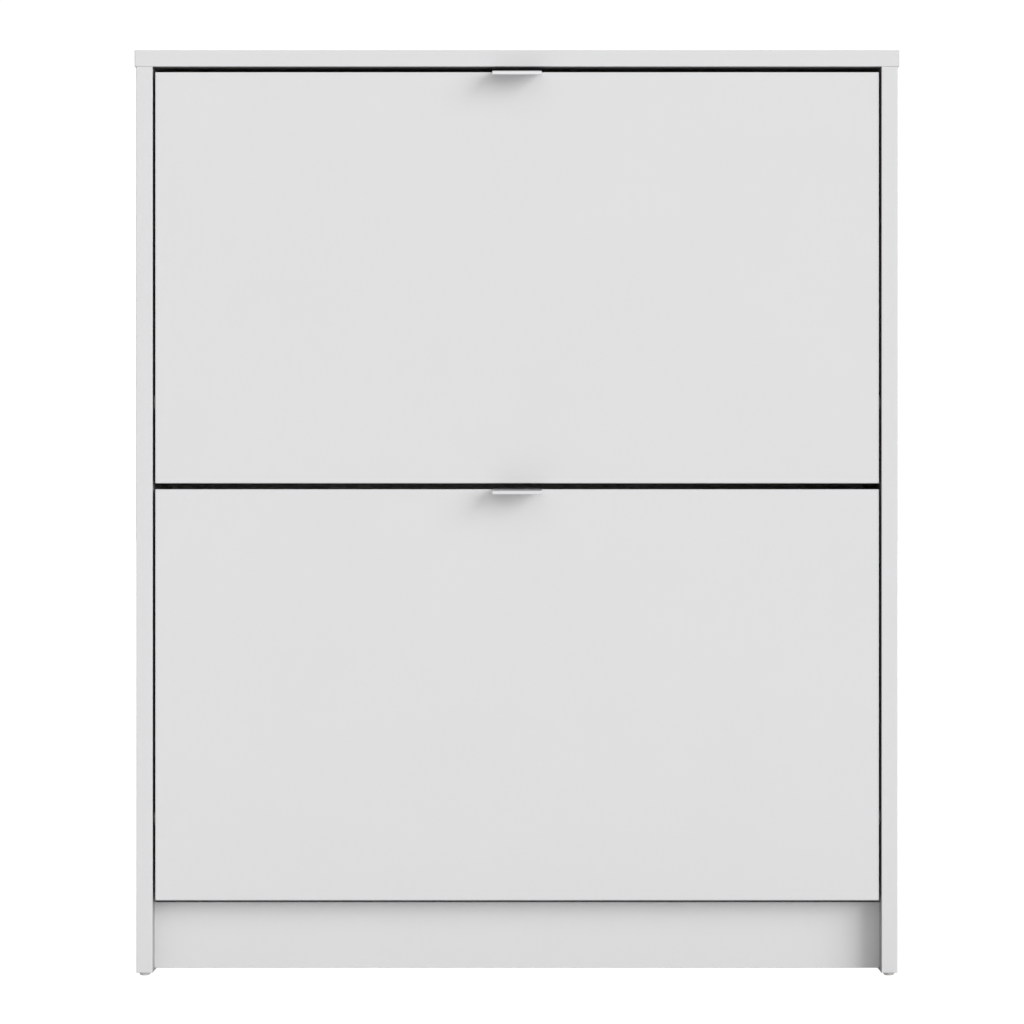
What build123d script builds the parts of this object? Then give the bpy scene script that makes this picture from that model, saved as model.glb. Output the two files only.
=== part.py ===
from build123d import *
import os
from math import cos, radians, sin

# Shoe cabinet with two tilt-out flaps, each carrying a rack for two rows of shoes.
#
# Units are millimetres. X runs to the right, Y to the back and Z up. The origin is on the floor, in the
# middle of the bounding box. The carcass is faced chipboard held by cam locks and dowels. Each flap turns
# on two pivot pins, and a stop pin in a curved slot limits it at both ends of its travel.

OUT = "parts"

# ---- sheet materials ----
BOARD = 15.0  # faced chipboard
HARDBOARD = 3.0  # back panels and rack boards
EDGE_R = 0.6  # rounding of a banded edge

# ---- carcass ----
TOP_WIDTH = 703.0
BODY_WIDTH = 700.0
DEPTH = 243.0
SIDE_HEIGHT = 833.0
GLIDE_HEIGHT = 3.0
HANDLE_REACH = 25.0  # from the side panels' front edges to the handles' lips
FRONT = -(DEPTH - HANDLE_REACH) / 2
BACK = FRONT + DEPTH
SIDE_TOP = GLIDE_HEIGHT + SIDE_HEIGHT
HEIGHT = SIDE_TOP + BOARD
INNER = BODY_WIDTH / 2 - BOARD  # half the clear width between the side panels
SIDE_MID = BODY_WIDTH / 2 - BOARD / 2

# ---- flap fronts ----
FLAP_HEIGHT = 378.0
FLAP_WIDTH = 2 * INNER - 4.6  # 2.3 mm beside each end
FLAP_SETBACK = 2.0
TOP_GAP = 5.0
MIDDLE_GAP = 5.5
FLAP_FACE = FRONT + FLAP_SETBACK
FLAP_REAR = FLAP_FACE + BOARD
UPPER_BASE = SIDE_TOP - TOP_GAP - FLAP_HEIGHT
LOWER_BASE = UPPER_BASE - MIDDLE_GAP - FLAP_HEIGHT

# ---- tilt mechanism, measured from the pivot axis ----
PIVOT_BEHIND = 6.0  # from the flap's rear face
PIVOT_RISE = 75.0  # above the flap's lower edge
PIVOT_Y = FLAP_REAR + PIVOT_BEHIND
TILT = 40.0  # degrees of travel
PIN_R = 4.0
PIN_DEPTH = 11.0  # in the side panel
BORE_PLAY = 0.08
BOSS_R = 9.0
HEAD_R = 5.6
STOP_RADIUS = 95.0  # from the pivot axis to the stop pin
STOP_ANGLE = 75.0  # above the horizontal, with the flap shut
STOP_R = 2.5
SLEEVE_R = 4.0
SLOT_R = SLEEVE_R + 0.3

# ---- brackets, as X limits of the right-hand one ----
WEB_OUT = INNER - 3.5
WEB = 2.5
WEB_IN = WEB_OUT - WEB
RIM_IN = WEB_OUT - 10.5
FLANGE_IN = RIM_IN - 10.0
FLANGE = 3.0
RIM = 2.0
RIB = 1.8
SLOT_PLAY = 0.3  # between a rack board and its channel

# ---- rack, as distances behind and above the pivot axis ----
DIVIDER_AT = 91.0
REAR_AT = 185.0
FRONT_FLOOR = -50.0
REAR_FLOOR = -12.0
DIVIDER_TOP = 150.0
REAR_TOP = 205.0
RACK_HALF = WEB_IN - 0.5

# ---- plinth, base and rails ----
PLINTH_SETBACK = 24.0
PLINTH_TOP = LOWER_BASE - 3.3
PLINTH_HEIGHT = 61.0
PLINTH_Y = FRONT + PLINTH_SETBACK
BACK_Y = BACK - 8.0 - HARDBOARD  # front face of the back panels
GROOVE_DEPTH = 5.0
GROOVE_Y = (BACK_Y - 0.1, BACK_Y + HARDBOARD + 0.2)
RAIL_HEIGHT = 60.0
RAIL_REAR = BACK_Y - 1.2
RAIL_Y = RAIL_REAR - BOARD
BACK_JOINT_Z = (UPPER_BASE + LOWER_BASE + FLAP_HEIGHT) / 2
WALL_HOLE_R = 2.75
WALL_HOLE_X = 240.0

# ---- fittings ----
CAM_R = 7.5
CAM_DEPTH = 12.7
CAM_SET = 34.0  # from the joint to the cam's axis
BOLT_THREAD = 11.0
DOWEL_R = 4.0
DOWEL_IN_FACE = 10.0
DOWEL_IN_EDGE = 21.5
HANDLE_WIDTH = 45.0
HANDLE_T = 1.2
HANDLE_SCREW_X = 14.0
HANDLE_SCREW_DROP = 8.0
NAIL_R = 0.7
GLIDE_R = 5.2
GLIDE_INSET = 8.5  # from the side panel's front and rear edges


def block(x, y, z):
    """A box from its low and high limits along each axis."""
    size = (x[1] - x[0], y[1] - y[0], z[1] - z[0])
    return Pos(x[0], y[0], z[0]) * Box(*size, align=(Align.MIN,) * 3)


def rod(radius, start, direction, length):
    """A cylinder that starts at a point and runs along a direction."""
    seat = (Align.CENTER, Align.CENTER, Align.MIN)
    return Plane(origin=start, z_dir=direction) * Cylinder(radius, length, align=seat)


def soften(board, chosen, radius=EDGE_R):
    """Rounds the edges of a board that pass a test."""
    return fillet(board.edges().filter_by(chosen), radius)


def cut(body, tools):
    """Takes every tool out of a body."""
    return body - list(tools) if tools else body


def along(point, direction, distance):
    """The point at a distance from another along a direction."""
    return tuple(Vector(point) + Vector(direction) * distance)


def opposite(direction):
    """The reverse of a direction."""
    return tuple(-Vector(direction))


def save(name, *solids):
    """Writes one node, made of one or more separate solids."""
    shape = solids[0] if len(solids) == 1 else Compound(children=[s.solid() for s in solids])
    export_step(shape, os.path.join(OUT, name + ".step"))


# ---- fasteners ----


def cross_recess(start, direction, width, depth):
    """A cross-shaped drive recess that runs into a head from a point on its face."""
    plane = Plane(origin=start, z_dir=direction)
    seat = (Align.CENTER, Align.CENTER, Align.MIN)
    bar = Box(width, width * 0.24, depth, align=seat)
    return plane * (bar + Rot(0, 0, 90) * bar)


def pan_screw(point, direction, length, radius, head_radius, head_height):
    """A screw whose head sits on a face at the point, with its shank along the direction."""
    out = opposite(direction)
    head = rod(head_radius, point, out, head_height)
    outer_rim = head.edges().filter_by(GeomType.CIRCLE).sort_by_distance(along(point, out, 9))[0]
    head = fillet(outer_rim, head_height * 0.6)
    top = along(point, out, head_height)
    recess = cross_recess(top, direction, head_radius * 1.1, head_height * 0.6)
    return head + rod(radius, point, direction, length) - recess


def nail(point):
    """A small flat-headed nail driven forward through a back panel from its rear face."""
    head = rod(1.8, point, (0, 1, 0), 0.5)
    return head + rod(NAIL_R, point, (0, -1, 0), 14.0)


def cam_joint(point, into, face):
    """The cam, its bolt and their holes, for a joint at a point between two boards.

    `into` points into the board that holds the cam, and `face` out of that board where the cam goes in.
    """
    mate = opposite(into)
    centre = along(point, into, CAM_SET)
    mouth = along(centre, face, BOARD / 2)
    inward = opposite(face)
    cam = rod(CAM_R - 0.1, mouth, inward, CAM_DEPTH - 0.3)
    cam -= rod(3.6, along(centre, mate, CAM_R), into, CAM_R + 2.5)
    cam -= cross_recess(mouth, inward, 6.0, 2.0)
    bolt = rod(2.5, along(point, mate, BOLT_THREAD - 0.5), into, BOLT_THREAD - 0.5)
    bolt += rod(3.0, point, into, CAM_SET - CAM_R + 1.5)
    bolt += rod(1.9, point, into, CAM_SET)
    bolt += rod(3.1, along(centre, mate, 1.5), into, 3.0)
    board_holes = [
        rod(CAM_R, mouth, inward, CAM_DEPTH),
        rod(DOWEL_R, point, into, CAM_SET),
    ]
    return cam, bolt, board_holes, rod(2.5, point, mate, BOLT_THREAD)


def dowel_joint(point, into):
    """A dowel between two boards and its two holes, the deeper one in the direction `into`."""
    mate = opposite(into)
    dowel = rod(DOWEL_R - 0.05, along(point, mate, DOWEL_IN_FACE - 0.5), into, 30.0)
    dowel = chamfer(dowel.edges().filter_by(GeomType.CIRCLE), 0.8)
    return dowel, rod(DOWEL_R, point, into, DOWEL_IN_EDGE), rod(DOWEL_R, point, mate, DOWEL_IN_FACE)


# ---- joinery: every cam lock and dowel of the carcass, with the holes that it needs ----


def joinery():
    """All cams, bolts and dowels, and the list of holes for each board."""
    holes = {name: [] for name in ("top", "left", "right", "plinth", "base", "top_rail", "middle_rail")}
    cams, bolts, dowels = [], [], []

    def lock(board, mate, point, into, face):
        cam, bolt, board_holes, mate_hole = cam_joint(point, into, face)
        cams.append(cam)
        bolts.append(bolt)
        holes[board] += board_holes
        holes[mate].append(mate_hole)

    def peg(board, mate, point, into):
        dowel, board_hole, mate_hole = dowel_joint(point, into)
        dowels.append(dowel)
        holes[board].append(board_hole)
        holes[mate].append(mate_hole)

    rail_mid_y = RAIL_Y + BOARD / 2
    for sign, side in ((-1, "left"), (1, "right")):
        inward = (-sign, 0, 0)
        for offset in (45.0, 198.0):
            lock(side, "top", (sign * SIDE_MID, FRONT + offset, SIDE_TOP), (0, 0, -1), inward)
        for offset in (80.0, 163.0):
            peg(side, "top", (sign * SIDE_MID, FRONT + offset, SIDE_TOP), (0, 0, -1))
        base_z = PLINTH_TOP - BOARD / 2
        for offset in (75.0, 205.0):
            lock("base", side, (sign * INNER, FRONT + offset, base_z), inward, (0, 0, -1))
        for offset in (110.0, 170.0):
            peg("base", side, (sign * INNER, FRONT + offset, base_z), inward)
        plinth_z = PLINTH_TOP - PLINTH_HEIGHT / 2
        plinth_mid_y = PLINTH_Y + BOARD / 2
        lock("plinth", side, (sign * INNER, plinth_mid_y, plinth_z), inward, (0, 1, 0))
        peg("plinth", side, (sign * INNER, plinth_mid_y, plinth_z - 18.0), inward)
        for rail, middle in (("top_rail", SIDE_TOP - RAIL_HEIGHT / 2), ("middle_rail", BACK_JOINT_Z)):
            lock(rail, side, (sign * INNER, rail_mid_y, middle + 12.0), inward, (0, 1, 0))
            peg(rail, side, (sign * INNER, rail_mid_y, middle - 16.0), inward)
    return holes, cams, bolts, dowels


# ---- boards of the carcass ----


def top_panel(holes):
    """The top, which stands 1.5 mm proud of each side, with a groove for the back panel."""
    half = TOP_WIDTH / 2
    board = block((-half, half), (FRONT, BACK), (SIDE_TOP, HEIGHT))
    board = soften(board, lambda e: e.center().Y < BACK - 1)
    groove = block((-INNER - 4.8, INNER + 4.8), GROOVE_Y, (0, SIDE_TOP + GROOVE_DEPTH))
    return cut(board, holes + [groove])


def side_panel(sign, holes):
    """A side, with banded front edges, a groove for the back panels and the pin holes."""
    x = sorted((sign * INNER, sign * BODY_WIDTH / 2))
    board = block(x, (FRONT, BACK), (GLIDE_HEIGHT, SIDE_TOP))
    board = soften(board, lambda e: e.center().Y < FRONT + 1)
    groove_x = sorted((sign * (INNER - 1), sign * (INNER + GROOVE_DEPTH)))
    groove = block(groove_x, GROOVE_Y, (0, SIDE_TOP))
    tools = holes + [groove]
    for base in (LOWER_BASE, UPPER_BASE):
        pivot, stop = pin_places(base)
        tools.append(rod(PIN_R, (sign * INNER, *pivot), (sign, 0, 0), PIN_DEPTH + 0.5))
        tools.append(rod(STOP_R, (sign * INNER, *stop), (sign, 0, 0), PIN_DEPTH + 0.5))
    for y in (FRONT + GLIDE_INSET, BACK - GLIDE_INSET):
        tools.append(rod(1.0, (sign * SIDE_MID, y, GLIDE_HEIGHT), (0, 0, 1), 14.5))
    return cut(board, tools)


def plinth(holes):
    """The front plinth between the sides."""
    board = block((-INNER, INNER), (PLINTH_Y, PLINTH_Y + BOARD), (PLINTH_TOP - PLINTH_HEIGHT, PLINTH_TOP))
    return cut(soften(board, lambda e: e.center().Y < PLINTH_Y + 1 and abs(e.center().X) < 1), holes)


def base_board(holes):
    """The bottom of the cabinet, level with the plinth's top and behind it."""
    board = block((-INNER, INNER), (PLINTH_Y + BOARD, BACK_Y), (PLINTH_TOP - BOARD, PLINTH_TOP))
    return cut(board, holes + nail_holes(PLINTH_TOP - BOARD / 2))


def rear_rail(low, holes, extra):
    """A rail across the back, between the sides."""
    board = block((-INNER, INNER), (RAIL_Y, RAIL_REAR), (low, low + RAIL_HEIGHT))
    board = soften(board, lambda e: e.center().Y < RAIL_Y + 1 and abs(e.center().X) < 1)
    return cut(board, holes + extra)


def wall_holes():
    """Clearance holes for the wall screws, through the top rail and the back panel."""
    z = SIDE_TOP - RAIL_HEIGHT / 2
    return [rod(WALL_HOLE_R, (x, RAIL_Y - 1, z), (0, 1, 0), 30.0) for x in (-WALL_HOLE_X, WALL_HOLE_X)]


def nail_places(z):
    """Where the nails of one row enter the back panel's rear face."""
    spacing = 120.0
    return [(spacing * (i - 2.5), BACK_Y + HARDBOARD, z) for i in range(6)]


def nail_holes(z):
    """The holes that one row of nails makes."""
    return [rod(NAIL_R, point, (0, -1, 0), 14.0) for point in nail_places(z)]


def back_panel(z, holes):
    """One half of the back, held in the side grooves."""
    half = INNER + 4.5
    return cut(block((-half, half), (BACK_Y, BACK_Y + HARDBOARD), z), holes)


def back_joint_strip():
    """The H-shaped strip that joins the two back panels."""
    half = INNER - 0.5
    y = (BACK_Y, BACK_Y + HARDBOARD)
    strip = block((-half, half), (y[0] - 1, y[1] + 1), (BACK_JOINT_Z - 0.8, BACK_JOINT_Z + 0.8))
    for side in ((y[0] - 1, y[0]), (y[1], y[1] + 1)):
        strip += block((-half, half), side, (BACK_JOINT_Z - 7, BACK_JOINT_Z + 7))
    return strip


def glide(x, y):
    """A nail-on glide under a side panel."""
    foot = rod(GLIDE_R, (x, y, 0), (0, 0, 1), GLIDE_HEIGHT)
    lower_edge = foot.edges().filter_by(GeomType.CIRCLE).sort_by(Axis.Z)[0]
    return fillet(lower_edge, GLIDE_HEIGHT - 0.6) + rod(1.0, (x, y, GLIDE_HEIGHT), (0, 0, 1), 14.0)


# ---- pins on which the flaps turn and stop ----


def pin_places(base):
    """The (y, z) of a flap's pivot axis and of its stop pin."""
    pivot_z = base + PIVOT_RISE
    angle = radians(STOP_ANGLE)
    stop = (PIVOT_Y + STOP_RADIUS * cos(angle), pivot_z + STOP_RADIUS * sin(angle))
    return (PIVOT_Y, pivot_z), stop


def pivot_pin(sign, base):
    """A headed pin pushed through the bracket's boss into the side panel."""
    centre = pin_places(base)[0]
    outward = (sign, 0, 0)
    head_x = RIM_IN - 0.4
    head = rod(HEAD_R, (sign * (head_x - 1.8), *centre), outward, 1.8)
    tip = head.edges().filter_by(GeomType.CIRCLE).sort_by_distance((0, *centre))[0]
    head = fillet(tip, 1.0)
    return head + rod(PIN_R, (sign * head_x, *centre), outward, INNER + PIN_DEPTH - head_x)


def pivot_washer(sign, base):
    """The spacer between the bracket and the side panel."""
    centre = pin_places(base)[0]
    start = (sign * (INNER - 1.6), *centre)
    return rod(7.5, start, (sign, 0, 0), 1.6) - rod(PIN_R, start, (sign, 0, 0), 1.6)


def stop_pin(sign, base):
    """A steel pin pressed into the side panel."""
    place = pin_places(base)[1]
    return rod(STOP_R, (sign * (RIM_IN + 1), *place), (sign, 0, 0), INNER + PIN_DEPTH - RIM_IN - 1)


def stop_sleeve(sign, base):
    """The rubber sleeve that takes the bump at each end of the slot."""
    place = pin_places(base)[1]
    start = (sign * (RIM_IN + 1), *place)
    length = INNER - 0.4 - RIM_IN - 1
    return rod(SLEEVE_R, start, (sign, 0, 0), length) - rod(STOP_R, start, (sign, 0, 0), length)


# ---- flap fronts and handles ----


def flap_front(base):
    """A flap's front board, rebated for the handle and drilled for its screws."""
    half = FLAP_WIDTH / 2
    top = base + FLAP_HEIGHT
    board = block((-half, half), (FLAP_FACE, FLAP_REAR), (base, top))
    board = soften(board, lambda e: True)
    seat_half = HANDLE_WIDTH / 2 + 0.2
    tools = [block((-seat_half, seat_half), (FLAP_FACE - 1, FLAP_REAR + 1), (top - HANDLE_T / 2, top + 1))]
    tools += [rod(1.5, point, (0, -1, 0), 10.0) for point in handle_screw_places(top)]
    tools += [rod(1.7, point, (0, -1, 0), 11.0) for point in bracket_screw_places(base)]
    return cut(board, tools)


def handle_profile():
    """The section of the sheet-metal pull: across (behind the flap's face) and up (from its top edge)."""
    lip, drop, lip_height = -HANDLE_REACH - FLAP_SETBACK, 1.8, 3.6
    half = HANDLE_T / 2
    tail = BOARD + HANDLE_T
    fall = drop * HANDLE_T / -lip
    points = [
        (tail, -14.0),
        (tail, half),
        (0, half),
        (lip, half - drop),
        (lip, half - drop - lip_height),
        (lip + HANDLE_T, half - drop - lip_height),
        (lip + HANDLE_T, -half - drop + fall),
        (0, -half),
        (BOARD, -half),
        (BOARD, -14.0),
    ]
    section = make_face(Polyline(*points, close=True))
    bends = {(lip, half - drop): 1.1, (tail, half): 1.3}
    ends = {(lip, half - drop - lip_height): 0.4, (lip + HANDLE_T, half - drop - lip_height): 0.4}
    for (across, up), radius in (bends | ends).items():
        section = fillet(section.vertices().sort_by_distance((across, up, 0))[0], radius)
    return section


def handle(base):
    """A bent pull that hooks over the flap's top edge and ends in a turned-down lip."""
    plane = Plane(origin=(-HANDLE_WIDTH / 2, FLAP_FACE, base + FLAP_HEIGHT), x_dir=(0, 1, 0), z_dir=(1, 0, 0))
    pull = extrude(plane * handle_profile(), amount=HANDLE_WIDTH)
    places = handle_screw_places(base + FLAP_HEIGHT)
    return cut(pull, [rod(1.7, along(point, (0, 1, 0), 2), (0, -1, 0), 4.0) for point in places])


def handle_screw_places(top):
    """Where the handle's screws enter the flap's rear face."""
    z = top - HANDLE_SCREW_DROP
    return [(x, FLAP_REAR, z) for x in (-HANDLE_SCREW_X, HANDLE_SCREW_X)]


def bracket_screw_places(base):
    """Where the brackets' screws enter the flap's rear face."""
    x = (FLANGE_IN + RIM_IN) / 2
    heights = (-36.0, 40.0, 130.0, 226.0)
    return [(sign * x, FLAP_REAR, base + PIVOT_RISE + h) for sign in (-1, 1) for h in heights]


# ---- brackets: moulded side plates of the racks, drawn behind and above the pivot axis ----


def slab(sketch, x):
    """A sketch drawn behind and above the pivot axis, made solid between two X limits."""
    plane = Plane(origin=(x[0], 0, 0), x_dir=(0, 1, 0), z_dir=(1, 0, 0))
    return extrude(plane * sketch, amount=x[1] - x[0])


def rounded(points, radius):
    """A polygon with rounded corners."""
    face = make_face(Polyline(*points, close=True))
    return fillet(face.vertices(), radius)


def bracket_outline():
    """The outer shape of a side plate, stepped up under the rear row."""
    front = -PIVOT_BEHIND
    low = FRONT_FLOOR - RIB - RIM
    step = DIVIDER_AT + HARDBOARD + RIB + RIM
    rear_low = REAR_FLOOR - RIB - RIM
    rear = REAR_AT + HARDBOARD + RIB + RIM
    crown = DIVIDER_TOP + 5.0
    points = [
        (front, low),
        (step, low),
        (step, rear_low),
        (rear, rear_low),
        (rear, REAR_TOP + 4.0),
        (REAR_AT - 4.0, REAR_TOP + 4.0),
        (152.0, crown + 10.0),
        (step + 4.0, crown),
        (DIVIDER_AT - 6.0, crown),
        (40.0, 196.0),
        (10.0, 240.0),
        (front, 240.0),
    ]
    radii = (1.0, 6.0, 1.0, 8.0, 5.0, 5.0, 22.0, 12.0, 12.0, 30.0, 8.0, 1.0)
    face = make_face(Polyline(*points, close=True))
    for point, radius in zip(points, radii):
        face = fillet(face.vertices().sort_by_distance((*point, 0))[0], radius)
    return face


def board_channels():
    """The centre lines of the four rack boards' ends."""
    half = HARDBOARD / 2
    return [
        ((-3.0, FRONT_FLOOR + half), (DIVIDER_AT, FRONT_FLOOR + half)),
        ((DIVIDER_AT + half, FRONT_FLOOR), (DIVIDER_AT + half, DIVIDER_TOP + 0.2)),
        ((DIVIDER_AT + half, REAR_FLOOR + half), (REAR_AT, REAR_FLOOR + half)),
        ((REAR_AT + half, REAR_FLOOR), (REAR_AT + half, REAR_TOP + 0.2)),
    ]


def strip(start, end, width, overrun=0.0):
    """A straight strip of a given width between two points, longer at both ends by the overrun."""
    across, up = (abs(b - a) for a, b in zip(start, end))
    middle = [(a + b) / 2 for a, b in zip(start, end)]
    size = (across + 2 * overrun, width) if across > up else (width, up + 2 * overrun)
    return Pos(*middle) * Rectangle(*size)


def stop_slot(grow=0.0):
    """The curved slot that the stop pin runs in, as a band around the pivot axis."""
    inner, outer = STOP_RADIUS - SLOT_R - grow, STOP_RADIUS + SLOT_R + grow
    low, high = STOP_ANGLE - TILT, STOP_ANGLE
    far = 3 * STOP_RADIUS
    wedge = [(0, 0)] + [(far * cos(radians(a)), far * sin(radians(a))) for a in (low, (low + high) / 2, high)]
    band = (Circle(outer) - Circle(inner)) & make_face(Polyline(*wedge, close=True))
    for angle in (low, high):
        end = Pos(STOP_RADIUS * cos(radians(angle)), STOP_RADIUS * sin(radians(angle)))
        band += end * Circle(SLOT_R + grow)
    return band


def bracket_windows():
    """The openings in a side plate's web."""
    above_slot = [(7.0, 114.0), (80.0, 84.0), (80.0, 140.0), (36.0, 184.0), (7.0, 222.0)]
    rear_row = [(107.0, 5.0), (173.0, 5.0), (173.0, 176.0), (148.0, 150.0), (107.0, 143.0)]
    beside_pivot = [(20.0, -36.0), (78.0, -36.0), (76.0, 24.0), (24.0, 54.0)]
    return [rounded(points, 6.0) for points in (above_slot, rear_row, beside_pivot)]


def right_bracket():
    """A right-hand side plate: web, rim, ribs, slot, pivot boss and screw flange."""
    outline = bracket_outline()
    windows = bracket_windows()
    inside = offset(outline, amount=-RIM)
    rib_depth = (RIM_IN, WEB_OUT)
    shallow = (WEB_OUT - 6.5, WEB_OUT)
    plate = slab(outline, (WEB_IN, WEB_OUT)) + slab(outline - inside, rib_depth)
    for start, end in board_channels():
        ribs = strip(start, end, HARDBOARD + SLOT_PLAY + 2 * RIB, RIB) & outline
        plate += slab(ribs, rib_depth)
    for window in windows:
        plate += slab(offset(window, amount=RIB), shallow)
    plate += slab(stop_slot(RIB), shallow)
    boss = Circle(BOSS_R) & Pos(BOSS_R - PIVOT_BEHIND, 0) * Rectangle(2 * BOSS_R, 2 * BOSS_R)
    plate += slab(boss, (RIM_IN, INNER - 2.1))
    plate += screw_flange()
    for start, end in board_channels():
        plate -= slab(strip(start, end, HARDBOARD + SLOT_PLAY), (RIM_IN - 1, WEB_IN))
    for window in windows:
        plate -= slab(window, rib_depth)
    plate -= slab(stop_slot(), rib_depth)
    plate -= slab(Circle(PIN_R + BORE_PLAY), (RIM_IN, INNER))
    return plate - slab(Circle(HEAD_R + 1.0), (FLANGE_IN, RIM_IN))


def screw_flange():
    """The flange against the flap's rear face, with its screw holes."""
    low, high = FRONT_FLOOR - RIB - RIM + 1, 239.0
    y = (-PIVOT_BEHIND, -PIVOT_BEHIND + FLANGE)
    flange = block((FLANGE_IN, WEB_OUT), y, (low, high))
    flange = soften(flange, lambda e: e.center().X < FLANGE_IN + 1 and y[0] < e.center().Y < y[1], 1.0)
    for x, _, z in bracket_screw_places(-PIVOT_RISE):
        if x > 0:
            flange -= rod(2.0, (x, y[0] - 1, z), (0, 1, 0), FLANGE + 2)
    return flange


# ---- rack boards ----


def rack_boards(base):
    """The four boards of a rack, by name, between the two brackets."""
    half = (-RACK_HALF, RACK_HALF)
    y, z = PIVOT_Y, base + PIVOT_RISE
    limits = {
        "front_shelf": ((-2.8, DIVIDER_AT - 0.2), (FRONT_FLOOR, FRONT_FLOOR + HARDBOARD)),
        "divider": ((DIVIDER_AT, DIVIDER_AT + HARDBOARD), (FRONT_FLOOR, DIVIDER_TOP)),
        "rear_shelf": ((DIVIDER_AT + HARDBOARD + 0.2, REAR_AT - 0.2), (REAR_FLOOR, REAR_FLOOR + HARDBOARD)),
        "rear_board": ((REAR_AT, REAR_AT + HARDBOARD), (REAR_FLOOR, REAR_TOP)),
    }
    return {
        name: block(half, (y + across[0], y + across[1]), (z + up[0], z + up[1]))
        for name, (across, up) in limits.items()
    }


# ---- assembly ----


def write_flap(level, base, bracket):
    """Writes every node of one flap."""
    save(f"{level}_flap_front", flap_front(base))
    save(f"{level}_handle", handle(base))
    screws = [pan_screw(along(p, (0, 1, 0), HANDLE_T), (0, -1, 0), 10.5, 1.5, 3.0, 1.6)
              for p in handle_screw_places(base + FLAP_HEIGHT)]
    save(f"{level}_handle_screws", *screws)
    screws = [pan_screw(along(p, (0, 1, 0), FLANGE), (0, -1, 0), 13.0, 1.7, 3.6, 2.2)
              for p in bracket_screw_places(base)]
    save(f"{level}_bracket_screws", *screws)
    placed = Pos(0, PIVOT_Y, base + PIVOT_RISE) * bracket
    save(f"{level}_bracket_right", placed)
    save(f"{level}_bracket_left", mirror(placed, about=Plane.YZ))
    for name, board in rack_boards(base).items():
        save(f"{level}_{name}", board)


def write_carcass():
    """Writes every node that stays still."""
    holes, cams, bolts, dowels = joinery()
    save("top_panel", top_panel(holes["top"]))
    save("side_panel_left", side_panel(-1, holes["left"]))
    save("side_panel_right", side_panel(1, holes["right"]))
    save("plinth", plinth(holes["plinth"]))
    save("base_board", base_board(holes["base"]))
    rail_nails = nail_holes(SIDE_TOP - RAIL_HEIGHT / 2)
    save("top_rail", rear_rail(SIDE_TOP - RAIL_HEIGHT, holes["top_rail"], wall_holes() + rail_nails))
    save("middle_rail", rear_rail(BACK_JOINT_Z - RAIL_HEIGHT / 2, holes["middle_rail"], []))
    upper_z = (BACK_JOINT_Z + 1, SIDE_TOP + GROOVE_DEPTH - 0.5)
    save("back_panel_upper", back_panel(upper_z, wall_holes() + rail_nails))
    base_nails = nail_holes(PLINTH_TOP - BOARD / 2)
    save("back_panel_lower", back_panel((PLINTH_TOP - BOARD, BACK_JOINT_Z - 1), base_nails))
    save("back_joint_strip", back_joint_strip())
    save("cam_locks", *cams)
    save("cam_bolts", *bolts)
    save("dowels", *dowels)
    rows = (PLINTH_TOP - BOARD / 2, SIDE_TOP - RAIL_HEIGHT / 2)
    save("back_panel_nails", *[nail(point) for z in rows for point in nail_places(z)])
    feet = [(s * SIDE_MID, y) for s in (-1, 1) for y in (FRONT + GLIDE_INSET, BACK - GLIDE_INSET)]
    save("glides", *[glide(x, y) for x, y in feet])
    pins = [(s, base) for base in (LOWER_BASE, UPPER_BASE) for s in (-1, 1)]
    save("pivot_pins", *[pivot_pin(*pin) for pin in pins])
    save("pivot_washers", *[pivot_washer(*pin) for pin in pins])
    save("stop_pins", *[stop_pin(*pin) for pin in pins])
    save("stop_sleeves", *[stop_sleeve(*pin) for pin in pins])


os.makedirs(OUT, exist_ok=True)
write_carcass()
bracket = right_bracket()
write_flap("lower", LOWER_BASE, bracket)
write_flap("upper", UPPER_BASE, bracket)
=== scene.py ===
import math

import bmesh
import bpy
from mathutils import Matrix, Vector


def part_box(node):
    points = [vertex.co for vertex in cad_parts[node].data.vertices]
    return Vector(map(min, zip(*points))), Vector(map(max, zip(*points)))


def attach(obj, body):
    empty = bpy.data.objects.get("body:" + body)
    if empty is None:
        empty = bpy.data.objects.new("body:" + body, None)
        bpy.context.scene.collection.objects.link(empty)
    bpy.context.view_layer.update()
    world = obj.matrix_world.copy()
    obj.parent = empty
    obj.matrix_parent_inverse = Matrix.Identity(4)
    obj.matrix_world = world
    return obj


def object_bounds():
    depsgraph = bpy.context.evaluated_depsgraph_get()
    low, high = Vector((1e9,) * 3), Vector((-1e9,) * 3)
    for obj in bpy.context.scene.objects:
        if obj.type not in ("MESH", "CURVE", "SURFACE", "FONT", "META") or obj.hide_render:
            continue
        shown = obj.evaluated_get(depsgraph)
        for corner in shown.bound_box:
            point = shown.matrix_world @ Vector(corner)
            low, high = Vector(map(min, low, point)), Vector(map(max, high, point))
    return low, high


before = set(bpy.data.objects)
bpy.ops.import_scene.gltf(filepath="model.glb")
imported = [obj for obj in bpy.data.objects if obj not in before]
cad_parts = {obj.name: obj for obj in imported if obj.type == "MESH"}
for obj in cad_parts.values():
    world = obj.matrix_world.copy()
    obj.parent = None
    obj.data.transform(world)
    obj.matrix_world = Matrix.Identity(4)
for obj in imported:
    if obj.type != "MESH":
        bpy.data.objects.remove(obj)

MM = 0.001
CAD_BOX = [list(corner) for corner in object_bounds()]
LOW, HIGH = (Vector(corner) for corner in CAD_BOX)
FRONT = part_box("side_panel_left")[0].y
CENTRE = Vector((0, (FRONT + HIGH.y) / 2, (LOW.z + HIGH.z) / 2))
X, Y, Z = range(3)

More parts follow.
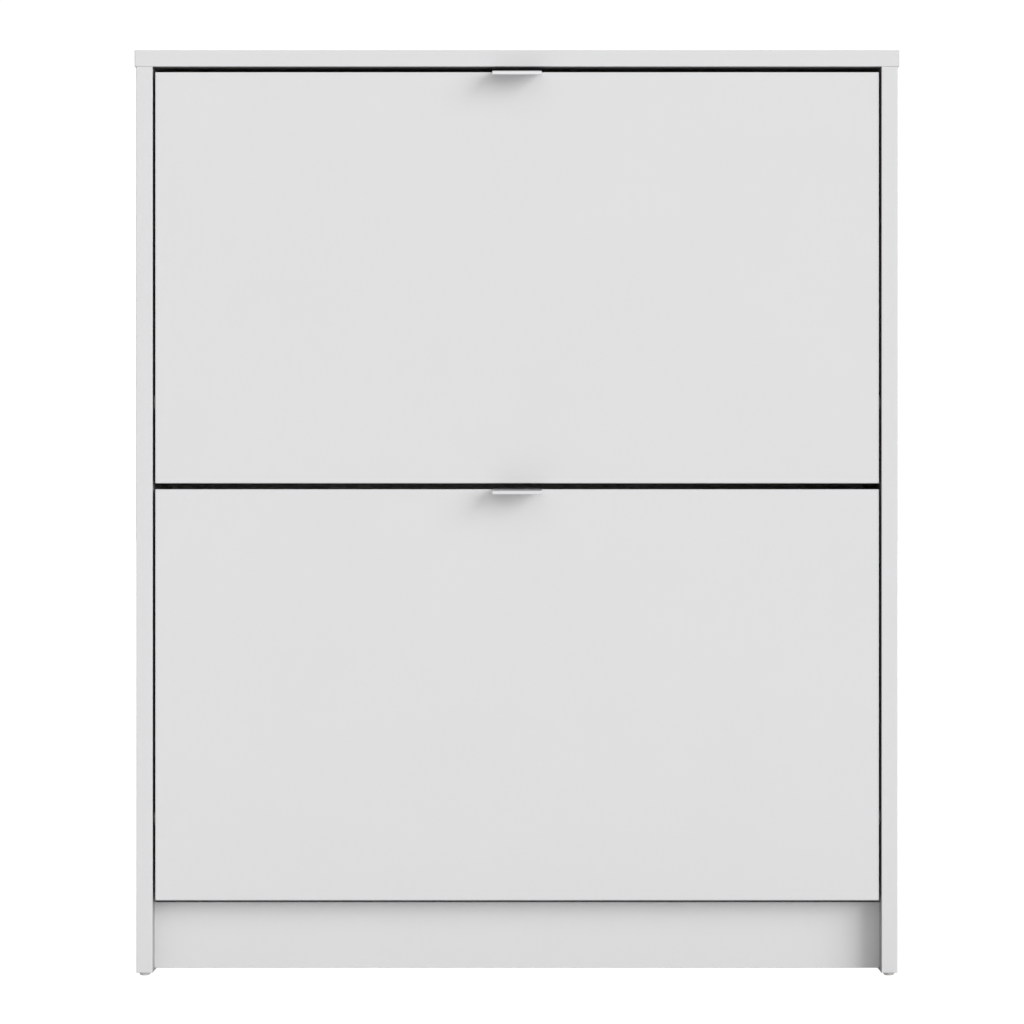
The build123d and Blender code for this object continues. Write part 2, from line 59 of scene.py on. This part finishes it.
# ---- colours, linear ----
MELAMINE = (0.70, 0.70, 0.707, 1)
MELAMINE_SHADE = (0.693, 0.693, 0.70, 1)
BAND = (0.69, 0.69, 0.697, 1)
SEAM = (0.36, 0.35, 0.34, 1)
PAINTED_SHADE_GREY = (0.34, 0.338, 0.336, 1)  # painted shade: a greyer colour on the board faces that look into the cabinet, standing in for the shade in its gaps
CHIP_LIGHT = (0.47, 0.31, 0.17, 1)
CHIP_DARK = (0.15, 0.08, 0.04, 1)
FIBRE_LIGHT = (0.33, 0.205, 0.115, 1)
FIBRE_DARK = (0.17, 0.098, 0.052, 1)
BOARD_PAINT = (0.71, 0.71, 0.705, 1)
SATIN = (0.5, 0.5, 0.51, 1)
SATIN_LINE = (0.56, 0.56, 0.57, 1)
PAINTED_HIGHLIGHT = (0.86, 0.86, 0.87, 1)  # painted highlight: the handles' front face, a brighter copy of the same metal so that it looks lit
BEECH_DARK = (0.36, 0.21, 0.11, 1)
BEECH_LIGHT = (0.6, 0.42, 0.25, 1)
STEEL = (0.66, 0.66, 0.68, 1)
ZINC = (0.55, 0.56, 0.58, 1)
WHITE_PLASTIC = (0.7, 0.7, 0.69, 1)
CAP_PLASTIC = (0.71, 0.71, 0.7, 1)
GLIDE_PLASTIC = (0.8, 0.8, 0.8, 1)
BLACK_PLASTIC = (0.022, 0.022, 0.024, 1)
RUBBER = (0.03, 0.03, 0.03, 1)

# ---- finishes and caps ----
ON_PLANE = 0.05 * MM  # how near to a plane counts as on it
ON_EDGE = 0.4 * MM  # the same for an edge face, with the start of its rounded corners
SEAM_INSET = 0.8 * MM  # from the face of an edge band to its seam with the board
SEAM_WIDTH = 0.08 * MM
SEAM_SHARE = 0.5  # how strongly a seam shows
BOARD_GLOSS = (0.51, 0.54)  # the two ends of a roughness that varies
BAND_GLOSS = 0.44
SAWN_GLOSS = 0.9
PAINT_GLOSS = (0.46, 0.56)
FIBRE_GLOSS = 0.88
SATIN_GLOSS = (0.3, 0.38)
BRIGHT_GLOSS = 0.22
DARKER = 0.85  # a colour's shade in its darker patches
SCREEN = 3600.0  # waves of the hardboard's rear mesh, in radians per metre
SCREEN_HEIGHT = 1.6  # of its knots, as a share of the fibre's relief
CAP_PLACES = {"front": 45 * MM, "rear": 198 * MM}  # behind the front of the sides
CAP_DROP = 34 * MM  # below the top of the sides

# ---- studio ----
CAMERA_PLACE = (-4.64 * MM, 426.6 * MM)  # across and up
CAMERA_DISTANCE = 4.0
VIEW_WIDTH = 0.941  # at the front of the sides
AMBIENT = 0.1
GLOWS = (  # a direction, the cosine where its glow begins, and its strength
    ((0, -1, 0), 0.0, 0.52),
    ((0, -1, 0), 0.85, 0.28),
    ((0, 1, 0), 0.0, 0.9),
    ((0, -0.6, 0.8), 0.5, 0.24),
)
FLOOR_HALF = 60.0  # the floor's half width
FLOOR_SHADE = (0.6, 0.6, 0.6, 1)
FLOOR_GLOW = 0.28
FLOOR_CONTACT = 0.45  # the share of its glow that the floor keeps right beside the cabinet
FLOOR_REACH = (0.4, 0.2, 1)  # where the full contact shade ends, along each axis from the middle
FLOOR_FADE = 2.2  # how many times as far the contact shade ends altogether
FLOOR_SEEN = 1.0
SKY_SEEN = 1.05
KEY_WAY = (49, 16)  # degrees to the right of straight in front, and up
KEY_SPREAD = 42
KEY = 2.12


class Nodes:
    """Short calls that build a node tree."""

    def __init__(self, tree, coordinates):
        self.tree = tree
        self.place = self.node("ShaderNodeTexCoord").outputs[coordinates]
        self.parts = self.node("ShaderNodeSeparateXYZ", {0: self.place}).outputs

    def node(self, kind, inputs=None, **settings):
        """Adds a node with these settings, and sets or links its inputs."""
        made = self.tree.nodes.new(kind)
        for key, value in settings.items():
            setattr(made, key, value)
        for key, value in (inputs or {}).items():
            self.feed(made.inputs[key], value)
        return made

    def feed(self, socket, value):
        """Links a socket to another node's output, or sets it to a constant."""
        if isinstance(value, bpy.types.NodeSocket):
            self.tree.links.new(value, socket)
        else:
            socket.default_value = value

    def maths(self, operation, *values):
        """The result of a maths node."""
        return self.node("ShaderNodeMath", dict(enumerate(values)), operation=operation).outputs[0]

    def span(self, value, low, high, start=0.0, end=1.0, curve="LINEAR"):
        """A value that goes from start to end as another goes from low to high."""
        inputs = {0: value, 1: low, 2: high, 3: start, 4: end}
        return self.node("ShaderNodeMapRange", inputs, interpolation_type=curve).outputs[0]

    def spread(self, noise, start=0.0, end=1.0):
        """A value that goes from start to end over a noise's usual range."""
        return self.span(noise, 0.3, 0.7, start, end)

    def mix(self, share, first, second):
        """A number between two others."""
        return self.node("ShaderNodeMix", {0: share, 2: first, 3: second}, data_type="FLOAT").outputs[0]

    def for_camera(self, to_camera, to_objects):
        """A strength that the camera sees at one value, and that lights the object at another."""
        rays = self.node("ShaderNodeLightPath").outputs["Is Camera Ray"]
        return self.mix(rays, to_objects, to_camera)


class Paint(Nodes):
    """One procedural material. Lengths are in metres, in the object's frame."""

    def __init__(self, name):
        self.material = bpy.data.materials.new(name)
        self.material.use_nodes = True
        super().__init__(self.material.node_tree, "Object")
        self.shader = self.tree.nodes["Principled BSDF"]

    def set(self, **inputs):
        """Sets or links the shader's own inputs, with spaces for underscores."""
        for key, value in inputs.items():
            self.feed(self.shader.inputs[key.replace("_", " ")], value)

    def stretched(self, scale):
        """Coordinates scaled by a different amount along each axis."""
        return self.node("ShaderNodeMapping", {"Vector": self.place, "Scale": scale}).outputs[0]

    def noise(self, scale, detail=2.0, roughness=0.5, place=None):
        """Fractal noise with features of about 1 / scale metres."""
        inputs = {"Vector": place or self.place, "Scale": scale, "Detail": detail, "Roughness": roughness}
        return self.node("ShaderNodeTexNoise", inputs).outputs["Fac"]

    def cells(self, scale, place=None, output="Distance", **settings):
        """A cell pattern with cells of about 1 / scale metres."""
        inputs = {"Vector": place or self.place, "Scale": scale}
        return self.node("ShaderNodeTexVoronoi", inputs, **settings).outputs[output]

    def blend(self, share, first, second):
        """A colour between two others."""
        made = self.node("ShaderNodeMix", {0: share, 6: first, 7: second}, data_type="RGBA")
        return made.outputs[2]

    def bump(self, height, distance, under=None):
        """A surface normal from a height of 0 to 1, with `distance` metres between the two."""
        inputs = {"Height": height, "Distance": distance}
        if under:
            inputs["Normal"] = under
        return self.node("ShaderNodeBump", inputs).outputs[0]

    def at_planes(self, planes, reach=ON_PLANE):
        """1 on any of the given planes, each an axis and a place along it, and 0 elsewhere."""
        found = 0.0
        for axis, value in planes:
            found = self.maths("MAXIMUM", found, self.maths("COMPARE", self.parts[axis], value, reach))
        return found

    def seams(self, planes):
        """1 on the fine line where an edge band on any of the given planes meets the board's face."""
        found = 0.0
        for axis, value in planes:
            away = self.maths("ABSOLUTE", self.maths("SUBTRACT", self.parts[axis], value))
            found = self.maths("MAXIMUM", found, self.maths("COMPARE", away, SEAM_INSET, SEAM_WIDTH))
        return found


# ---- boards ----


def chipboard(paint):
    """The colour and height of a sawn chipboard edge: flat chips of wood pressed together."""
    grain = paint.cells(700.0, output="Color")
    shade = paint.node("ShaderNodeSeparateColor", {0: grain}).outputs[0]
    fine = paint.noise(2600.0, detail=3.0, roughness=0.6)
    tone = paint.mix(0.4, shade, fine)
    return paint.blend(paint.span(tone, 0.15, 0.85), CHIP_DARK, CHIP_LIGHT), tone


def faced_board(name, banded=(), raw=(), painted_shade_faces=()):
    """White melamine-faced board with its banded and sawn edges, and painted shade: a greyer colour on any
    given face that looks into the cabinet's gaps.
    """
    paint = Paint(name)
    colour = paint.blend(paint.spread(paint.noise(9.0, detail=3.0)), MELAMINE, MELAMINE_SHADE)
    gloss = paint.spread(paint.noise(26.0, detail=4.0, roughness=0.6), *BOARD_GLOSS)
    normal = paint.bump(paint.noise(1500.0, detail=3.0, roughness=0.55), 0.035 * MM)
    normal = paint.bump(paint.noise(60.0), 0.012 * MM, normal)
    if banded:
        band = paint.at_planes(banded, ON_EDGE)
        seam = paint.maths("MULTIPLY", paint.seams(banded), SEAM_SHARE)
        colour = paint.blend(seam, paint.blend(band, colour, BAND), SEAM)
        gloss = paint.mix(band, gloss, BAND_GLOSS)
    # painted shade: the faces that look into the cabinet's gaps get a greyer colour in place of the shade
    # there
    if painted_shade_faces:
        colour = paint.blend(paint.at_planes(painted_shade_faces), colour, PAINTED_SHADE_GREY)
    if raw:
        chip_colour, chip_height = chipboard(paint)
        sawn = paint.at_planes(raw)
        colour = paint.blend(sawn, colour, chip_colour)
        gloss = paint.mix(sawn, gloss, SAWN_GLOSS)
        normal = paint.bump(paint.maths("MULTIPLY", sawn, chip_height), 0.5 * MM, normal)
    paint.set(Base_Color=colour, Roughness=gloss, Normal=normal)
    return paint.material


def hardboard(name, raw_faces=(), sawn=()):
    """Thin hardboard: painted white, with brown fibre on its unpainted face and its sawn edges."""
    paint = Paint(name)
    fibre = paint.noise(900.0, detail=5.0, roughness=0.65)
    clumps = paint.noise(120.0, detail=4.0, roughness=0.6)
    brown = paint.blend(paint.span(paint.maths("ADD", fibre, clumps), 0.75, 1.25), FIBRE_DARK, FIBRE_LIGHT)
    bare = paint.at_planes(tuple(raw_faces) + tuple(sawn))
    height = fibre
    if raw_faces:
        mesh_x = paint.maths("SINE", paint.maths("MULTIPLY", paint.parts[X], SCREEN))
        mesh_z = paint.maths("SINE", paint.maths("MULTIPLY", paint.parts[Z], SCREEN))
        screen = paint.span(paint.maths("MULTIPLY", mesh_x, mesh_z), -1.0, 1.0, 0.0, SCREEN_HEIGHT)
        height = paint.mix(paint.at_planes(raw_faces), fibre, screen)
    normal = paint.bump(paint.noise(420.0, detail=4.0, roughness=0.6), 0.05 * MM)
    normal = paint.bump(paint.maths("MULTIPLY", height, bare), 0.25 * MM, normal)
    paint.set(
        Base_Color=paint.blend(bare, BOARD_PAINT, brown),
        Roughness=paint.mix(bare, paint.spread(paint.noise(40.0), *PAINT_GLOSS), FIBRE_GLOSS),
        Normal=normal,
    )
    return paint.material


def box_planes(node, *names):
    """The planes of a node's box by name, such as "front" or "left"."""
    low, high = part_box(node)
    planes = {
        "left": (X, low[X]),
        "right": (X, high[X]),
        "front": (Y, low[Y]),
        "rear": (Y, high[Y]),
        "bottom": (Z, low[Z]),
        "top": (Z, high[Z]),
    }
    return [planes[name] for name in names]


# ---- plastics, rubber and metals ----


def shaded(colour):
    """A colour as it looks in its darker patches."""
    return tuple(c * DARKER for c in colour[:3]) + (1,)


def moulded(name, colour, roughness, grain=2400.0, depth=0.01 * MM):
    """Moulded plastic with a fine eroded texture."""
    paint = Paint(name)
    flow = paint.spread(paint.noise(35.0, detail=3.0))
    paint.set(
        Base_Color=paint.blend(flow, colour, shaded(colour)),
        Roughness=paint.spread(paint.noise(70.0, detail=3.0), roughness - 0.05, roughness + 0.05),
        Normal=paint.bump(paint.noise(grain, roughness=0.6), depth),
    )
    return paint.material


def brushed_aluminium(name, highlight_faces):
    """Satin anodised aluminium, brushed along the handle's width, with a painted highlight: a brighter,
    glossier front face so that it looks lit.
    """
    paint = Paint(name)
    # painted highlight: the front face gets a brighter, glossier copy of the same metal
    highlight_mask = paint.at_planes(highlight_faces, ON_EDGE)
    along_width = paint.stretched((60.0, 5200.0, 5200.0))
    lines = paint.noise(1.0, detail=3.0, roughness=0.6, place=along_width)
    cloud = paint.noise(140.0, detail=3.0)
    satin = paint.blend(paint.span(lines, 0.25, 0.75), SATIN, SATIN_LINE)
    gloss = paint.span(paint.maths("ADD", lines, cloud), 0.7, 1.3, *SATIN_GLOSS)
    paint.set(
        Base_Color=paint.blend(highlight_mask, satin, PAINTED_HIGHLIGHT),
        Metallic=1.0,
        Roughness=paint.mix(highlight_mask, gloss, BRIGHT_GLOSS),
        Normal=paint.bump(lines, 0.008 * MM),
    )
    return paint.material


def plated(name, colour, roughness, grain=900.0, depth=0.01 * MM):
    """Plated steel or cast zinc, with a slightly uneven polish."""
    paint = Paint(name)
    cloud = paint.noise(grain, detail=4.0, roughness=0.6)
    paint.set(
        Base_Color=paint.blend(paint.spread(cloud), colour, shaded(colour)),
        Metallic=1.0,
        Roughness=paint.spread(cloud, roughness - 0.06, roughness + 0.08),
        Normal=paint.bump(cloud, depth),
    )
    return paint.material


def beech(name):
    """Plain beech with short darker flecks."""
    paint = Paint(name)
    grain = paint.noise(1.0, detail=4.0, roughness=0.6, place=paint.stretched((300.0, 1800.0, 1800.0)))
    flecks = paint.cells(1.0, place=paint.stretched((400.0, 2500.0, 2500.0)))
    tone = paint.maths("ADD", grain, paint.maths("MULTIPLY", flecks, 0.4))
    paint.set(
        Base_Color=paint.blend(paint.span(tone, 0.4, 0.9), BEECH_DARK, BEECH_LIGHT),
        Roughness=0.62,
        Normal=paint.bump(grain, 0.06 * MM),
    )
    return paint.material


# ---- finishes by node ----


def dress(node, material):
    """Gives a CAD node its material."""
    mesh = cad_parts[node].data
    mesh.materials.clear()
    mesh.materials.append(material)


def dress_carcass(steel):
    """The finishes of everything that stays still."""
    banded = {
        "top_panel": ("front", "left", "right"),
        "side_panel_left": ("front",),
        "side_panel_right": ("front",),
        "plinth": ("top",),
        "base_board": (),
        "top_rail": ("bottom",),
        "middle_rail": ("bottom", "top"),
    }
    raw = {
        "top_panel": ("rear",),
        "side_panel_left": ("rear", "bottom", "top"),
        "side_panel_right": ("rear", "bottom", "top"),
        "plinth": ("bottom",),
        "base_board": ("front", "rear"),
        "top_rail": ("top",),
        "middle_rail": (),
    }
    # faces that get the painted shade, a grey that stands in for the shade in the cabinet's gaps
    painted_shade_faces = {
        "top_panel": ("bottom",),
        "side_panel_left": ("right",),
        "side_panel_right": ("left",),
    }
    for node in banded:
        edges = (box_planes(node, *faces.get(node, ())) for faces in (banded, raw, painted_shade_faces))
        dress(node, faced_board(f"{node}_finish", *edges))
    for node in ("back_panel_upper", "back_panel_lower"):
        dress(node, hardboard(f"{node}_finish", box_planes(node, "rear"), box_planes(node, "top", "bottom")))
    white_plastic = moulded("white_plastic", WHITE_PLASTIC, 0.42)
    for node in ("back_joint_strip", "pivot_washers"):
        dress(node, white_plastic)
    for node in ("cam_bolts", "back_panel_nails", "pivot_pins", "stop_pins"):
        dress(node, steel)
    dress("cam_locks", plated("cast_zinc", ZINC, 0.45, grain=700.0, depth=0.05 * MM))
    dress("dowels", beech("beech"))
    dress("glides", moulded("glide_plastic", GLIDE_PLASTIC, 0.35))
    dress("stop_sleeves", moulded("rubber", RUBBER, 0.78, grain=1600.0, depth=0.03 * MM))


def dress_flap(level, steel, plastic):
    """The finishes of one flap."""
    front = f"{level}_flap_front"
    dress(front, faced_board(f"{front}_finish", box_planes(front, "left", "right", "bottom", "top")))
    handle = f"{level}_handle"
    # the handle's front face carries the painted highlight
    dress(handle, brushed_aluminium(f"{handle}_finish", box_planes(handle, "front")))
    for name in ("handle_screws", "bracket_screws"):
        dress(f"{level}_{name}", steel)
    for side in ("left", "right"):
        dress(f"{level}_bracket_{side}", plastic)
    sawn = {
        "front_shelf": ("front", "rear"),
        "rear_shelf": ("front", "rear"),
        "divider": ("top", "bottom"),
        "rear_board": ("top", "bottom"),
    }
    for name, edges in sawn.items():
        node = f"{level}_{name}"
        dress(node, hardboard(f"{node}_finish", (), box_planes(node, *edges)))


# ---- cover caps over the cams inside the sides ----


def cap_outline():
    """The section of a cap as radius and height, from its dished middle to its skirt and flat underside."""
    dish = [(0.0, 0.55), (5.2, 0.62), (6.4, 0.85)]
    return dish + [(7.6, 1.0), (8.3, 0.85), (8.6, 0.35), (8.6, 0.0), (0.0, 0.0)]


def lathe(name, outline, place, direction, steps=64, crease=60):
    """A closed turned piece that stands on a point along a direction, with hard corners from a crease up."""
    mesh = bmesh.new()
    turn = Vector(direction).to_track_quat("Z", "Y")
    rings = []
    for radius, height in outline:
        ring = []
        for i in range(steps if radius else 1):
            angle = 2 * math.pi * i / steps
            point = Vector((radius * math.cos(angle), radius * math.sin(angle), height)) * MM
            ring.append(mesh.verts.new(Vector(place) + turn @ point))
        rings.append(ring)
    for inner, outer in zip(rings, rings[1:]):
        for i in range(steps):
            j = (i + 1) % steps
            corners = [ring[k % len(ring)] for ring, k in ((inner, i), (outer, i), (outer, j), (inner, j))]
            mesh.faces.new(list(dict.fromkeys(corners)))
    mesh.normal_update()
    data = bpy.data.meshes.new(name)
    mesh.to_mesh(data)
    mesh.free()
    data.shade_smooth()
    data.set_sharp_from_angle(angle=math.radians(crease))
    return add_object(name, data)


def add_object(name, data):
    """Puts a mesh, light or camera in the scene."""
    made = bpy.data.objects.new(name, data)
    bpy.context.scene.collection.objects.link(made)
    return made


def cover_caps():
    """Plastic caps that hide the cams on the inner face of each side."""
    material = moulded("cap_plastic", CAP_PLASTIC, 0.4)
    for side, sign in (("left", -1), ("right", 1)):
        low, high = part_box(f"side_panel_{side}")
        inner = high.x if sign < 0 else low.x
        for place, offset in CAP_PLACES.items():
            centre = (inner, FRONT + offset, high.z - CAP_DROP)
            cap = lathe(f"cam_cap_{place}_{side}", cap_outline(), centre, (-sign, 0, 0))
            cap.data.materials.append(material)
            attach(cap, "carcass")


# ---- studio ----


def floor():
    """A plain white floor that carries on out of sight."""
    paint = Paint("floor_paint")
    away = paint.stretched([1 / reach for reach in FLOOR_REACH])
    away = paint.node("ShaderNodeVectorMath", {0: away}, operation="LENGTH").outputs["Value"]
    glow = paint.span(away, 1.0, FLOOR_FADE, FLOOR_CONTACT * FLOOR_GLOW, FLOOR_GLOW)
    paint.set(Base_Color=FLOOR_SHADE, Roughness=0.8, Emission_Color=(1, 1, 1, 1))
    paint.set(Emission_Strength=paint.for_camera(FLOOR_SEEN, glow))
    data = bpy.data.meshes.new("floor")
    corners = [(x * FLOOR_HALF, y * FLOOR_HALF, 0) for x, y in ((-1, -1), (1, -1), (1, 1), (-1, 1))]
    data.from_pydata(corners, [], [(0, 1, 2, 3)])
    data.materials.append(paint.material)
    add_object("floor", data)


def surroundings():
    """An even white studio, whose light is brighter in front, behind and overhead."""
    world = bpy.data.worlds.new("studio")
    bpy.context.scene.world = world
    world.use_nodes = True
    sky = Nodes(world.node_tree, "Generated")
    strength = AMBIENT
    for way, edge, glow in GLOWS:
        facing = sky.node("ShaderNodeVectorMath", {0: sky.place, 1: way}, operation="DOT_PRODUCT")
        share = sky.span(facing.outputs["Value"], edge, 1.0, 0.0, glow, "SMOOTHSTEP")
        strength = sky.maths("ADD", strength, share)
    background = sky.tree.nodes["Background"]
    background.inputs["Color"].default_value = (1, 1, 1, 1)
    sky.feed(background.inputs["Strength"], sky.for_camera(SKY_SEEN, strength))


def key_light():
    """A broad, distant light, so that it falls evenly over the whole cabinet."""
    turn, rise = (math.radians(angle) for angle in KEY_WAY)
    way = Vector((math.sin(turn) * math.cos(rise), -math.cos(turn) * math.cos(rise), math.sin(rise)))
    light = bpy.data.lights.new("key", "SUN")
    light.angle = math.radians(KEY_SPREAD)
    light.energy = KEY
    made = add_object("key", light)
    made.location = CENTRE + way * CAMERA_DISTANCE
    made.rotation_mode = "QUATERNION"
    made.rotation_quaternion = way.to_track_quat("Z", "Y")


def camera():
    """A long lens straight in front, level with the cabinet's middle."""
    data = bpy.data.cameras.new("camera")
    data.sensor_width = 36.0
    data.lens = data.sensor_width * CAMERA_DISTANCE / VIEW_WIDTH
    data.clip_end = 200.0
    across, up = CAMERA_PLACE
    made = add_object("camera", data)
    made.location = (across, FRONT - CAMERA_DISTANCE, up)
    made.rotation_euler = (math.pi / 2, 0, 0)
    bpy.context.scene.camera = made


plated_steel = plated("plated_steel", STEEL, 0.28)
black_plastic = moulded("black_plastic", BLACK_PLASTIC, 0.5, grain=1900.0, depth=0.03 * MM)
dress_carcass(plated_steel)
for level in ("upper", "lower"):
    dress_flap(level, plated_steel, black_plastic)
cover_caps()

floor()
surroundings()
key_light()
camera()
bpy.context.scene.view_settings.view_transform = "Standard"
